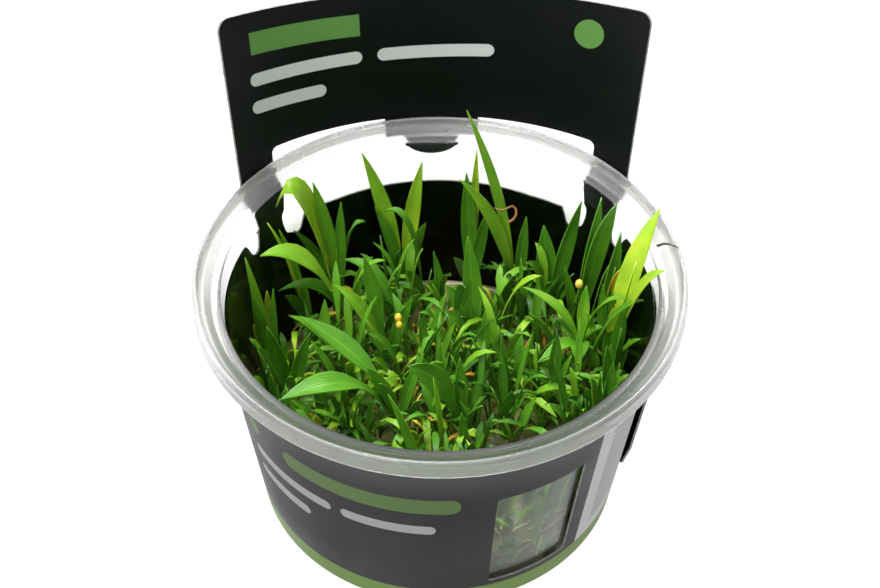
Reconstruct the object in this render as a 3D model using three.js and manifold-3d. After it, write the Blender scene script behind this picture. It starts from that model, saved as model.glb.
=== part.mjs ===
// A retail cup of tissue-cultured, grass-like aquarium plantlets: a clear round cup without its lid,
// a die-cut card sleeve with a tall header, a bed of nutrient gel and the plantlets growing out of it.
// Millimetres, +Z up. The origin is the centre of the cup's flat underside, and the header stands at +Y.
import * as THREE from 'three';
import { mergeVertices } from 'three/addons/utils/BufferGeometryUtils.js';
import Module from 'manifold-3d';

const wasm = await Module();
wasm.setup();

// Driving sizes of the cup
const RIM_RADIUS = 50;
const CUP_HEIGHT = 60.7;
const SKIRT_DEPTH = 4;
const WALL = 0.8;
const FLOOR = 1;
const FOOT_RADIUS = 39.3;
const TAPER = 0.1036;
const LEDGE_RADIUS = 45.7;
const AROUND = 48;

// Driving sizes of the card sleeve, measured to its outer face
const CARD = 0.45;
const CLEARANCE = 0.3;
const BAND_FOOT = 1.5;
const BAND_TOP = 51.2;
const FLAP_TOP = 45.8;
const HEADER_FOOT = 56.2;
const HEADER_RADIUS = 50.78;
const HEADER_FLARE = 0.032;
const HEADER_TOP = 92.5;
const HEADER_DROOP = 9.1;
const HEADER_HALF = 55.6;
const HEADER_CORNER = 3;
const WINDOW_TOP = 60;
const WINDOW_DROOP = 5.25;
const WINDOW_HALF = 44.2;
const TAB = { centre: 0.8, half: 10.4, shoulder: 56, tip: 50.8 };
const LABEL_WINDOW = { from: 141.5, to: 167.5, low: 8.5, high: 40.7 };
const LAP = { free: -98.5, fixed: -82, stand: 1.2, low: 10 };

// The gel bed and what stands on it
const GEL_TOP = 17.5;
const MENISCUS = 0.5;
const CROWN_GAP = 0.3;
const CROWN_HEIGHT = 3;
const CROWN_RADIUS = 1.5;
const LEAF_THICKNESS = 0.5;
const LEAF_STEPS = { low: 2, upright: 3, arched: 4 };
const UPRIGHT_RISE = 15;
const ARCHED_RISE = 21;
const LEAF_LEAN = 0.2;

const radians = THREE.MathUtils.degToRad;

const finish = {
  clearPlastic: { color: 0xeef2f2, roughness: 0.08, metalness: 0, transparent: true, opacity: 0.35 },
  card: { color: 0x1b1f1f, roughness: 0.4, metalness: 0 },
  gel: { color: 0xb9b08d, roughness: 0.2, metalness: 0, transparent: true, opacity: 0.6 },
  leaf: { color: 0x3c9a10, roughness: 0.4, metalness: 0 },
};

// Turns a closed geometry into a solid whose faces point outwards
function solidOf(geometry) {
  const bare = geometry.clone();
  bare.deleteAttribute('normal');
  bare.deleteAttribute('uv');
  const merged = mergeVertices(bare, 1e-4);
  const points = merged.attributes.position.array;
  const triangles = [];
  const index = merged.index.array;
  let volume = 0;
  const corner = (i) => new THREE.Vector3().fromArray(points, 3 * i);
  for (let i = 0; i < index.length; i += 3) {
    const [a, b, c] = [index[i], index[i + 1], index[i + 2]];
    if (a === b || b === c || c === a) continue;
    triangles.push(a, b, c);
    volume += corner(a).dot(corner(b).cross(corner(c)));
  }
  if (volume < 0) {
    for (let i = 0; i < triangles.length; i += 3) {
      [triangles[i + 1], triangles[i + 2]] = [triangles[i + 2], triangles[i + 1]];
    }
  }
  return new wasm.Manifold(new wasm.Mesh({
    numProp: 3,
    vertProperties: new Float32Array(points),
    triVerts: new Uint32Array(triangles),
  }));
}

function meshOf(name, solid, look) {
  const { vertProperties, triVerts } = solid.getMesh();
  const geometry = new THREE.BufferGeometry();
  geometry.setAttribute('position', new THREE.BufferAttribute(new Float32Array(vertProperties), 3));
  geometry.setIndex(new THREE.BufferAttribute(new Uint32Array(triVerts), 1));
  geometry.computeVertexNormals();
  const mesh = new THREE.Mesh(geometry, new THREE.MeshStandardMaterial(look));
  mesh.name = name;
  return mesh;
}

// Turns a closed profile of [radius, height] points round the cup's axis
function turned(profile) {
  const points = profile.map(([radius, height]) => new THREE.Vector2(radius, height));
  const geometry = new THREE.LatheGeometry(points, AROUND);
  geometry.rotateX(Math.PI / 2);
  return solidOf(geometry);
}

// Moves every vertex of a geometry through a function of its old place
function warp(geometry, place) {
  const position = geometry.attributes.position;
  const point = new THREE.Vector3();
  for (let i = 0; i < position.count; i += 1) {
    point.fromBufferAttribute(position, i);
    const moved = place(point);
    position.setXYZ(i, moved.x, moved.y, moved.z);
  }
  return geometry;
}

// Place on a circle round the axis; the angle runs from +Y towards -X, in degrees
function around(degrees, radius, height) {
  const angle = radians(degrees);
  return new THREE.Vector3(-radius * Math.sin(angle), radius * Math.cos(angle), height);
}

// A block bent round the axis: it runs along a list of angles, with its own floor and roof at each
function bentBlock(angles, low, high, inner, outer) {
  const steps = angles.length - 1;
  return solidOf(warp(new THREE.BoxGeometry(1, 1, 1, steps, 1, 1), (point) => {
    const angle = angles[Math.round((point.x + 0.5) * steps)];
    const height = point.z < 0 ? low(angle) : high(angle);
    const radius = point.y < 0 ? inner(angle, height) : outer(angle, height);
    return around(angle, radius, height);
  }));
}

function evenly(from, to, steps) {
  return Array.from({ length: steps + 1 }, (_, i) => from + ((to - from) * i) / steps);
}

// Height along a bent line given as [angle, height] points
function along(line, angle) {
  const next = Math.max(1, line.findIndex(([at]) => at >= angle - 1e-9));
  const [a, low] = line[next - 1];
  const [b, high] = line[next];
  return low + ((high - low) * (angle - a)) / (b - a);
}

// The cup

function wallOuter(height) {
  return FOOT_RADIUS + TAPER * (height - BAND_FOOT);
}

function wallInner(height) {
  return wallOuter(height) - WALL;
}

function cup() {
  const skirtFoot = CUP_HEIGHT - SKIRT_DEPTH;
  return turned([
    [0, 0],
    [FOOT_RADIUS - 1.2, 0],
    [FOOT_RADIUS, 1.3],
    [wallOuter(57), 57],
    [LEDGE_RADIUS + 2, 59.2],
    [RIM_RADIUS - WALL, 59.8],
    [RIM_RADIUS - WALL, skirtFoot],
    [RIM_RADIUS, skirtFoot],
    [RIM_RADIUS, CUP_HEIGHT - 0.8],
    [RIM_RADIUS - 0.8, CUP_HEIGHT],
    [RIM_RADIUS - 1.7, CUP_HEIGHT - 0.2],
    [LEDGE_RADIUS + 2.3, CUP_HEIGHT - 1.6],
    [LEDGE_RADIUS, CUP_HEIGHT - 3],
    [wallInner(56), 56],
    [wallInner(2.4), 2.4],
    [FOOT_RADIUS - 2, FLOOR],
    [0, FLOOR],
  ]);
}

// The card sleeve

function cardRadius(height) {
  if (height <= BAND_TOP) return FOOT_RADIUS + CLEARANCE + CARD + TAPER * (height - BAND_FOOT);
  if (height >= HEADER_FOOT) return HEADER_RADIUS + HEADER_FLARE * (height - HEADER_FOOT);
  return THREE.MathUtils.mapLinear(
    height, BAND_TOP, HEADER_FOOT, cardRadius(BAND_TOP), HEADER_RADIUS,
  );
}

const CUT_INNER = () => 34;
const CUT_OUTER = () => 64;
const CUT_TOP = 112;

// How far a round corner pulls an edge back, from the distance still left to the side
function cornerPull(distance, radius) {
  if (distance >= radius) return 0;
  return radius - Math.sqrt(radius * radius - (radius - distance) ** 2);
}

function headerTop(angle) {
  const side = radians(HEADER_HALF - Math.abs(angle)) * HEADER_RADIUS;
  return HEADER_TOP + HEADER_DROOP * radians(angle) ** 2 - cornerPull(side, HEADER_CORNER);
}

// Upper edge of the wide opening over the rim, with the tab that hangs into it
function windowTop(angle) {
  const offset = (angle - TAB.centre) / TAB.half;
  if (Math.abs(offset) < 1) {
    return TAB.shoulder - (TAB.shoulder - TAB.tip) * Math.sqrt(1 - offset * offset);
  }
  const side = radians(WINDOW_HALF - Math.abs(angle)) * HEADER_RADIUS;
  return WINDOW_TOP + WINDOW_DROOP * radians(angle) ** 2 - cornerPull(side, 1.6);
}

// Lower edge of the opening: the low flap, then the round notch beside each leg
const NOTCH_FLOOR = [
  [0, FLAP_TOP], [39.6, FLAP_TOP], [41.2, FLAP_TOP - 0.5], [42, FLAP_TOP - 1.4], [43.6, 44.7],
  [45.6, 44.2], [47.6, 44.7], [48.7, 46], [49.3, 47.6],
];
const LEG_INSIDE = [[44.2, 58.6], [45.6, 53.6], [47, 50.6], [48.7, 48.4], [49.3, 47.6]];

// Outer side of each leg, the second round notch and the band's top edge
const LEG_OUTSIDE = [
  [HEADER_HALF, 60], [56.6, 57.2], [58, 54.6], [59.6, 51.6], [60.2, 48], [61.2, 47], [63, 46.6],
  [64.8, 47.4], [66.2, 49.4], [68, 50.9], [70.5, BAND_TOP], [180, BAND_TOP],
];

function openingCut(side) {
  const tabEdges = evenly(TAB.centre - TAB.half, TAB.centre + TAB.half, 10).filter((at) => at * side > 0);
  const inner = tabEdges.map((at) => at * side).sort((a, b) => a - b);
  const reach = [...evenly(14, 38, 5), 40, 41.2, 42, 42.8, 43.6, 44.2, 45.6, 47, 48.7, 49.3];
  const angles = [0, ...inner, ...reach];
  const low = (angle) => along(NOTCH_FLOOR, Math.abs(angle));
  const high = (angle) => {
    const at = Math.abs(angle);
    if (at > WINDOW_HALF) return Math.max(along(LEG_INSIDE, at), low(angle) + 0.01);
    return windowTop(angle);
  };
  return bentBlock(angles.map((at) => at * side), low, high, CUT_INNER, CUT_OUTER);
}

function aboveBandCut() {
  const half = LEG_OUTSIDE.map(([at]) => at).filter((at) => at < 180);
  const angles = [...half, ...evenly(78, 282, 17), ...half.map((at) => 360 - at).reverse()];
  const low = (angle) => along(LEG_OUTSIDE, angle > 180 ? 360 - angle : angle);
  return bentBlock(angles, low, () => CUT_TOP, CUT_INNER, CUT_OUTER);
}

function headerTopCut() {
  const corner = [HEADER_HALF + 0.4, HEADER_HALF - 0.5, HEADER_HALF - 1.2, HEADER_HALF - 2.2];
  const angles = [...corner.map((at) => -at), ...evenly(-51, 51, 17), ...corner.reverse()];
  const inside = (angle) => THREE.MathUtils.clamp(angle, 0.03 - HEADER_HALF, HEADER_HALF - 0.03);
  return bentBlock(angles, (angle) => headerTop(inside(angle)), () => CUT_TOP, CUT_INNER, CUT_OUTER);
}

function labelWindowCut() {
  const { from, to, low, high } = LABEL_WINDOW;
  return bentBlock(evenly(-from, -to, 5), () => low, () => high, CUT_INNER, CUT_OUTER);
}

// The loose end of the card, lapped over the band and standing off it more towards the top
function lap() {
  const standing = (angle, height) => {
    const loose = (LAP.fixed - angle) / (LAP.fixed - LAP.free);
    const risen = THREE.MathUtils.clamp((height - LAP.low) / (BAND_TOP - LAP.low), 0, 1);
    return cardRadius(height) - 0.12 + loose * (0.3 + LAP.stand * risen);
  };
  return bentBlock(
    evenly(LAP.free, LAP.fixed, 3), () => LAP.low, () => BAND_TOP - 0.1,
    standing, (angle, height) => standing(angle, height) + CARD,
  );
}

function sleeve() {
  const outside = [BAND_FOOT, BAND_TOP, HEADER_FOOT, CUT_TOP - 8];
  const face = outside.map((height) => [cardRadius(height), height]);
  const back = outside.map((height) => [cardRadius(height) - CARD, height]).reverse();
  const cuts = [openingCut(1), openingCut(-1), aboveBandCut(), headerTopCut(), labelWindowCut()];
  const card = cuts.reduce((whole, cut) => whole.subtract(cut), turned([...face, ...back, face[0]]));
  return card.add(lap());
}

// The gel

function gel() {
  const edge = (height) => wallInner(height) - CLEARANCE;
  return turned([
    [0, FLOOR + CLEARANCE],
    [FOOT_RADIUS - 2.5, FLOOR + CLEARANCE],
    [edge(2.8), 2.8],
    [edge(GEL_TOP + MENISCUS), GEL_TOP + MENISCUS],
    [edge(GEL_TOP) - 0.9, GEL_TOP],
    [0, GEL_TOP],
  ]);
}

// The plantlets

// How wide a leaf is along its length, as a share of its widest place
function leafShape(t) {
  const belly = 0.45;
  if (t < belly) return 0.35 + 0.65 * Math.sin((Math.PI / 2) * (t / belly));
  return 1 - ((t - belly) / (1 - belly)) ** 2;
}

// A leaf is a slim cone laid along a bent line from its crown to its tip. Two of its three corners run along
// the blade's edges, and the third is the keel below.
// rise is how high the line starts out before it bends over, face the compass angle of the blade's width.
// The higher it rises, the more steps it has.
function leaf(crown, [x, y, z, rise, wide, face]) {
  const tip = new THREE.Vector3(x, y, z);
  const out = tip.clone().sub(crown).setZ(0).normalize();
  const base = crown.clone().addScaledVector(out, 0.4);
  const reach = tip.clone().sub(base).setZ(0);
  const control = base.clone().addScaledVector(reach, LEAF_LEAN);
  control.z += rise;
  const line = new THREE.QuadraticBezierCurve3(base, control, tip);
  const width = new THREE.Vector3(Math.cos(radians(face)), Math.sin(radians(face)), 0);
  const upright = rise > UPRIGHT_RISE ? LEAF_STEPS.upright : LEAF_STEPS.low;
  const steps = rise > ARCHED_RISE ? LEAF_STEPS.arched : upright;
  return solidOf(warp(new THREE.ConeGeometry(1, 1, 3, steps), (point) => {
    const t = point.y + 0.5;
    const tangent = line.getTangent(t);
    const across = width.clone().addScaledVector(tangent, -width.dot(tangent)).normalize();
    const upward = tangent.clone().cross(across);
    const spread = Math.hypot(point.x, point.z) || 1;
    const place = line.getPoint(t);
    place.addScaledVector(across, (point.x / spread) * leafShape(t) * (wide / Math.sqrt(3)));
    place.addScaledVector(upward, (-point.z / spread) * (1 - 0.6 * t) * (LEAF_THICKNESS / 1.5));
    return place;
  }));
}

// One plantlet: a short crown on the gel, or a stem with the crown on top, with its leaves grown out of it
function plantlet({ at: [x, y, stem = 0], leaves }) {
  const foot = GEL_TOP + CROWN_GAP;
  const height = CROWN_HEIGHT + stem;
  const stock = new THREE.CylinderGeometry(CROWN_RADIUS * 0.7, CROWN_RADIUS, height, 5);
  stock.rotateX(Math.PI / 2);
  stock.translate(x, y, foot + height / 2);
  const crown = new THREE.Vector3(x, y, foot + height - 1.4);
  return leaves.reduce((whole, blade) => whole.add(leaf(crown, blade)), solidOf(stock));
}

// Plantlets seen in the mouth of the cup. at: place of the crown, and the height of its stem if it has one.
// Each leaf: tip x, y, z, then rise, width and face.
const GROWN = [
  // Back left, under the header's left leg
  { at: [-22, 29.5], leaves: [
    [-34.1, 25.8, 53.5, 56, 5.4, 100],
    [-26.4, 30, 58.5, 24, 3.5, 10],
    [-20.6, 30.2, 52.4, 20, 2.6, -10],
    [-15.5, 33.5, 43.5, 30, 2.3, 70],
    [-31.2, 26.8, 47.5, 18, 2.5, 30],
  ] },
  { at: [-19.5, 21.5], leaves: [
    [-38, 16.6, 48.5, 36, 4.8, 78],
    [-34.8, 17.5, 38, 24, 3, 70],
    [-14, 30, 36, 18, 2.3, 20],
    [-23.5, 17.5, 38, 14, 2.1, 0],
  ] },
  { at: [-29, 22.5], leaves: [
    [-36.2, 22.3, 54, 22, 1.6, 80],
    [-34, 23.8, 50.5, 18, 2.3, 10],
    [-33.5, 18, 36, 12, 2.6, 30],
  ] },
  // Left wall
  { at: [-36.2, 6.5], leaves: [
    [-39, 4, 50, 16, 2.9, 10],
    [-39.2, 8.6, 37, 10, 2.1, 40],
    [-35, 9.4, 46.8, 15, 1.7, -10],
    [-40.4, 11.6, 54, 18, 2.3, 20],
  ] },
  { at: [-32.5, -1], leaves: [
    [-36, -0.6, 45.5, 14, 3.6, 0],
    [-27.3, 1.4, 41.3, 12, 2.9, 0],
    [-31.2, -8.6, 39, 12, 2.3, 10],
    [-37.6, -5.4, 44.7, 16, 2.3, 60],
  ] },
  // Front left, with the two broad leaves that arch over to the left
  { at: [-9.2, -7.7], leaves: [
    [-28.6, -2.8, 50.5, 33, 5, 75],
    [-31.6, -16.7, 43.5, 28, 4.8, 100],
    [-15.2, -10.5, 43.2, 15, 3.2, 0],
    [-12.8, -15.8, 44.2, 15, 2.5, 20],
    [-3.4, -2, 38, 10, 2.6, -20],
  ] },
  { at: [4.8, -9.4], leaves: [
    [-6.9, -13, 46, 21, 5.4, 40],
    [8.4, -15.6, 36.4, 10, 1.7, 30],
    [4, -6.6, 41, 12, 2.9, 0],
    [10.5, -4.5, 35, 10, 2.6, -30],
  ] },
  // Back centre
  { at: [-7, 35.8], leaves: [
    [-15.8, 39.6, 58.6, 22, 3.6, 10],
    [-2.4, 40.6, 54.8, 20, 3.6, -5],
    [-13.2, 36.2, 45.5, 14, 2.5, 20],
    [-1.8, 32.2, 44, 14, 3.2, 0],
  ] },
  { at: [-2, 29], leaves: [
    [-11.2, 33, 46.9, 36, 2.2, 70],
    [-6.5, 24.5, 37, 10, 2.6, 20],
    [2, 25.5, 34, 9, 2.3, -20],
  ] },
  { at: [-11.2, 10.2], leaves: [
    [-15.6, 14.4, 51, 18, 4.2, 5],
    [-22.2, 13, 44, 20, 3.1, 30],
    [-11.6, 4.6, 32.4, 8, 2, 10],
    [-5.4, 12.4, 39.8, 12, 2.9, -10],
  ] },
  { at: [-8, 20.5], leaves: [
    [-20.5, 25.5, 39.5, 24, 3.4, 60],
    [-4, 17.5, 36, 11, 3.1, -10],
    [-13.5, 19, 34, 10, 2.6, 20],
  ] },
  { at: [8.8, 34], leaves: [
    [7.4, 37.4, 54, 20, 3.6, 0],
    [9.8, 40.4, 58.3, 22, 2.2, 10],
    [4.5, 29, 36, 10, 2.7, 0],
    [12.6, 34.4, 46, 14, 2.9, 0],
  ] },
  // Back right, with the tallest leaf
  { at: [19.6, 31], leaves: [
    [7.1, 36.9, 72, 30, 2.3, 10],
    [5.6, 31.2, 57.4, 26, 3.1, 30],
    [21, 33.4, 44, 14, 2.7, 0],
    [15.4, 26.2, 36, 10, 2.3, 20],
  ] },
  { at: [26.5, 24.4], leaves: [
    [24.2, 27.2, 47, 14, 5, 0],
    [20, 21.6, 41, 20, 2.6, 60],
    [25, 18.2, 38, 14, 2.5, 20],
    [32.2, 27.4, 54, 18, 4, 20],
  ] },
  { at: [32.4, 17.2], leaves: [
    [35.9, 24.4, 57.5, 20, 4.2, 30],
    [38.6, 20.6, 58.8, 32, 4.7, 20],
    [28.4, 18.8, 42, 12, 2.3, 0],
    [30.2, 13.2, 37, 10, 2.9, 0],
  ] },
  { at: [36.4, 10.4], leaves: [
    [39.4, 16.4, 54.5, 18, 3.9, 20],
    [40.6, 10.4, 51.5, 16, 2, 60],
    [38.6, 13.8, 46.6, 14, 2.1, 40],
  ] },
  // Right wall, with the tall lime leaves
  { at: [36.4, 1], leaves: [
    [46.4, 14.2, 63, 36, 6.2, 120],
    [41.6, 7.6, 54.5, 18, 4.8, 70],
    [45.4, -1.2, 60, 38, 4.4, 80],
    [41.2, -6.8, 46, 18, 3.1, 60],
  ] },
  // The rosette on its stem
  { at: [31.2, 6.2, 11], leaves: [
    [39.8, 2.4, 48.5, 18, 2.2, 50],
    [18.6, 12.4, 42.7, 14, 2.9, 60],
    [21.2, -1, 33, 6, 3.1, 110],
    [29.6, -2.6, 34, 6, 4.2, 0],
    [36.4, 6.2, 36, 6, 2, 100],
    [24.6, 9.4, 35.5, 6, 3.4, 60],
    [32.2, 11, 44, 8, 2.6, 0],
  ] },
  // Front right, low leaves beside the bare gel
  { at: [16.4, 3.2], leaves: [
    [30.6, -1, 25, 10, 2.6, 100],
    [18.2, 9.4, 33, 10, 3.6, 0],
    [13.6, -1.2, 30, 8, 2.3, 0],
    [12.4, 8.6, 29, 7, 2.3, 30],
  ] },
  { at: [9, 15], leaves: [
    [2.1, 17.8, 38.4, 14, 3.8, 10],
    [6.9, 21, 50, 17, 4.2, 5],
    [0.4, 12.6, 34, 14, 3.9, 60],
    [17.4, 16.4, 30, 8, 2.9, 20],
  ] },
  { at: [33, -6.4], leaves: [
    [30.6, -10, 34.4, 9, 2.6, 10],
    [38.2, -6.6, 36, 12, 2, 30],
    [25.6, -10.6, 32, 10, 2.3, 40],
  ] },
];

// Park-Miller numbers between 0 and 1, the same on every run
function numbers(seed) {
  let state = seed;
  return () => {
    state = (state * 16807) % 2147483647;
    return state / 2147483647;
  };
}

// Plantlets with leaves fanned out all round, each leaf's reach, height and width between two limits
function fanned(spots, { seed, leaves, reach, tall, wide }) {
  const next = numbers(seed);
  const between = ([low, high]) => low + (high - low) * next();
  return spots.map(([x, y]) => {
    const turn = next() * 360;
    return {
      at: [x, y],
      leaves: Array.from({ length: leaves }, (_, k) => {
        const bearing = radians(turn + (360 / leaves) * k + 30 * (next() - 0.5));
        const far = between(reach);
        const height = between(tall);
        return [
          x + far * Math.cos(bearing), y + far * Math.sin(bearing), GEL_TOP + height,
          height * 0.45, between(wide), THREE.MathUtils.radToDeg(bearing) + 90,
        ];
      }),
    };
  });
}

// Low plantlets of the front half, below the rim: a ring of crowns along the wall and one inside it
const FRONT = { from: 198, to: 336, count: 9, ring: 33, inner: 20.6 };
const FRONT_FAN = { seed: 41, leaves: 4, reach: [2.5, 5], tall: [9, 18], wide: [1.6, 2.8] };

// Plantlets of middle height, in the gaps between the others
const MIDDLE = [
  [-25, 11], [-21, 2], [-1.5, 3.5], [2.5, 22], [22.5, 13.5], [25, -2.5], [17, 22.5], [-25.5, -8],
  [10, 6.5], [14, -8.5], [-2, 12.5],
];
const MIDDLE_FAN = { seed: 29, leaves: 4, reach: [3, 7], tall: [12, 23], wide: [1.9, 3] };

function frontSpots() {
  return evenly(FRONT.from, FRONT.to, FRONT.count - 1).map((bearing, i) => {
    const radius = i % 2 ? FRONT.inner : FRONT.ring;
    return [radius * Math.cos(radians(bearing)), radius * Math.sin(radians(bearing))];
  });
}

const part = new THREE.Group();
part.add(meshOf('cup', cup(), finish.clearPlastic));
part.add(meshOf('sleeve', sleeve(), finish.card));
part.add(meshOf('gel', gel(), finish.gel));
const plants = [...GROWN, ...fanned(frontSpots(), FRONT_FAN), ...fanned(MIDDLE, MIDDLE_FAN)];
plants.forEach((plant, i) => {
  part.add(meshOf(`plantlet_${String(i + 1).padStart(2, '0')}`, plantlet(plant), finish.leaf));
});

export default part;
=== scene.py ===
# A retail cup of tissue-cultured, grass-like aquarium plantlets: a clear round cup without its lid,
# a die-cut card sleeve with a tall header, a bed of nutrient gel and the plantlets growing out of it.
# Shapes are drawn in millimetres in the frame's own axes, and made metres as each piece is finished.
import math
import random

import bmesh
import bpy
from mathutils import Matrix, Vector


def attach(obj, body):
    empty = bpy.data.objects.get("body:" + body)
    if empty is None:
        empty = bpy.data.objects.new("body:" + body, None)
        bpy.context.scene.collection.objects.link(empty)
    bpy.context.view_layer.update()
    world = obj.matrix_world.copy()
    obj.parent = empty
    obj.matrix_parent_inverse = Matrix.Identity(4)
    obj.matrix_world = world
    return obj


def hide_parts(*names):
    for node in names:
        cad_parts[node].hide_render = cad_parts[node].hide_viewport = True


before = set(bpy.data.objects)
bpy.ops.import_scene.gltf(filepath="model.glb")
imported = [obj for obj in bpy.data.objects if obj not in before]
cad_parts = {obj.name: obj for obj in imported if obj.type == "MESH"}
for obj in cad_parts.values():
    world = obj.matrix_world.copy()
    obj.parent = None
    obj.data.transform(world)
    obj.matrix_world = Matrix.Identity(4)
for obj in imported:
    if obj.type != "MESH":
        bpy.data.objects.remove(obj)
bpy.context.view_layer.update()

MM = 0.001

# Sizes of the cup
RIM_RADIUS = 50
CUP_HEIGHT = 60.7
SKIRT_DEPTH = 4
WALL = 0.8
FLOOR = 1
FOOT_RADIUS = 39.3
FOOT_RISE = 0.5
FOOT_RING = (34, 35)
TAPER = 0.1036
LEDGE_RADIUS = 45.7
CREASE = 52.2
RING_ROUNDING = 0.28

# Sizes of the card sleeve, measured to its outer face
CARD = 0.45
CLEARANCE = 0.3
BAND_FOOT = 1.5
BAND_TOP = 51.2
FLAP_TOP = 45.8
HEADER_FOOT = 56.2
HEADER_RADIUS = 50.78
HEADER_FLARE = 0.032
HEADER_TOP = 92.5
HEADER_DROOP = 9.1
HEADER_HALF = 55.6
HEADER_CORNER = 3
WINDOW_TOP = 60
WINDOW_DROOP = 5.25
WINDOW_HALF = 44.2
WINDOW_CORNER = 1.6
TAB = {"half": 12, "foot": 54.95, "tongue": 7.3, "tip": 52.5}
LABEL_WINDOW = {"from": 192.5, "to": 218.5, "low": 8.5, "high": 40.7}

# The lap. Angles of its free end, of the end fixed beneath it, of where it lies flush and of its foot.
# Then the height above which it lifts, over how much height it does, how far it stands off at its free
# end, and the gap to the layer beneath.
LAP = {
    "free": -107, "fixed": -88, "flush": -80, "foot": -93, "low": 9, "rising": 8, "stand": 1.15, "gap": 0.05,
}

# How many degrees and millimetres of card its UV map covers, and how soft the edge of the ink is
CARD_MAP = (360, 100)
INK_EDGE = 0.06

# The gel bed and what stands on it
GEL_TOP = 17.5
GEL_GAP = 0.15
GEL_DRAWN_IN = 1
MENISCUS = 0.5
CROWN_GAP = 0.3
CROWN_HEIGHT = 3
BED_RADIUS = 36.5

# A leaf whose stalk and bend aren't given: the share of it that is stalk, and how far out its bend is
LEAF_STALK = 0.15
LEAF_LEAN = 0.2

# The heights between which the mist on the wall ends, and the places along Y between which the rim's painted
# shade, dark at the front, gives way to its lighter back
MIST = (44, 50)
FRONT_SHADE = (-40, -12)

# Places in millimetres, roll in degrees and lens in millimetres
CAMERA = {"eye": (-9.47, -211.28, 266.32), "target": (0.05, 0, 53.55), "roll": 0.545, "lens": 59.8}

# Each soft light's place, what it points at, its width in millimetres and its power in watts
LIGHTS = {
    "overhead": ((-120, 60, 600), (0, 0, 40), 350, 5),
    "front": ((-250, -450, 420), (0, 0, 40), 220, 1.2),
    "back": ((60, 420, 480), (0, 0, 50), 180, 1.6),
}

# Half the width of the floor, in metres
TABLE_HALF = 3

# Takes the height out of a vector
LEVEL = Vector((1, 1, 0))


# Camera and light

def look_from(eye, target, roll, lens):
    camera = bpy.data.objects.new("camera", bpy.data.cameras.new("camera"))
    bpy.context.scene.collection.objects.link(camera)
    camera.data.sensor_fit = "HORIZONTAL"
    camera.data.sensor_width = 36
    camera.data.lens = lens
    camera.data.clip_start = 0.01
    line = Vector(target) - Vector(eye)
    camera.location = Vector(eye) * MM
    turn = line.to_track_quat("-Z", "Y").to_matrix() @ Matrix.Rotation(math.radians(roll), 3, "Z")
    camera.rotation_euler = turn.to_euler()
    bpy.context.scene.camera = camera


def soft_light(name, place, target, size, power):
    lamp = bpy.data.lights.new(name, "AREA")
    lamp.shape = "DISK"
    lamp.size = size * MM
    lamp.energy = power
    holder = bpy.data.objects.new(name, lamp)
    bpy.context.scene.collection.objects.link(holder)
    holder.location = Vector(place) * MM
    line = Vector(target) - Vector(place)
    holder.rotation_euler = line.to_track_quat("-Z", "Y").to_euler()


# Finishes

class Value:
    """One value or colour in a finish, on which sums are written as plain expressions."""

    def __init__(self, finish, socket):
        self.finish = finish
        self.socket = socket

    def sum(self, operation, first, second):
        return self.finish.node("ShaderNodeMath", {"operation": operation}, {0: first, 1: second})

    def __add__(self, other):
        return self.sum("ADD", self, other)

    def __radd__(self, other):
        return self.sum("ADD", other, self)

    def __sub__(self, other):
        return self.sum("SUBTRACT", self, other)

    def __rsub__(self, other):
        return self.sum("SUBTRACT", other, self)

    def __mul__(self, other):
        return self.sum("MULTIPLY", self, other)

    def __rmul__(self, other):
        return self.sum("MULTIPLY", other, self)

    def __pow__(self, other):
        return self.sum("POWER", self, other)

    def __rpow__(self, other):
        return self.sum("POWER", other, self)

    def __mod__(self, other):
        return self.sum("FLOORED_MODULO", self, other)

    def __rmod__(self, other):
        return self.sum("FLOORED_MODULO", other, self)

    def __abs__(self):
        return self.sum("ABSOLUTE", self, 0)

    def largest(self, other):
        return self.sum("MAXIMUM", self, other)


class Nodes:
    """Nodes of a finish or of the sky."""

    def __init__(self, tree):
        self.tree = tree

    def node(self, kind, settings=None, inputs=None, output=0):
        made = self.tree.nodes.new(kind)
        for name, value in (settings or {}).items():
            if name == "stops":
                self.set_stops(made.color_ramp, value)
            else:
                setattr(made, name, value)
        for place, value in (inputs or {}).items():
            if isinstance(value, Value):
                self.tree.links.new(value.socket, made.inputs[place])
            else:
                made.inputs[place].default_value = value
        return Value(self, made.outputs[output])

    def set_stops(self, ramp, stops):
        while len(ramp.elements) < len(stops):
            ramp.elements.new(1)
        for element, (place, colour) in zip(ramp.elements, stops):
            element.position = place
            element.color = (*colour, 1)

    def place(self):
        return self.node("ShaderNodeTexCoord", output="Object")

    def part(self, vector, axis):
        """One of a vector's three numbers."""
        return self.node("ShaderNodeSeparateXYZ", {}, {0: vector}, axis)

    def noise(self, scale, detail, stretch=None):
        where = self.place()
        if stretch:
            where = self.node("ShaderNodeMapping", {}, {0: where, "Scale": stretch})
        return self.node("ShaderNodeTexNoise", {}, {0: where, "Scale": scale, "Detail": detail})

    def step(self, value, low, high, new_low=0.0, new_high=1.0):
        return self.node(
            "ShaderNodeMapRange", {"interpolation_type": "SMOOTHSTEP"},
            {0: value, 1: low, 2: high, 3: new_low, 4: new_high},
        )

    def blend(self, share, first, second):
        return self.node(
            "ShaderNodeMix", {"data_type": "RGBA"}, {0: share, 6: rgba(first), 7: rgba(second)}, 2,
        )

    def ramp(self, share, stops):
        return self.node("ShaderNodeValToRGB", {"stops": stops}, {0: share})


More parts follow.
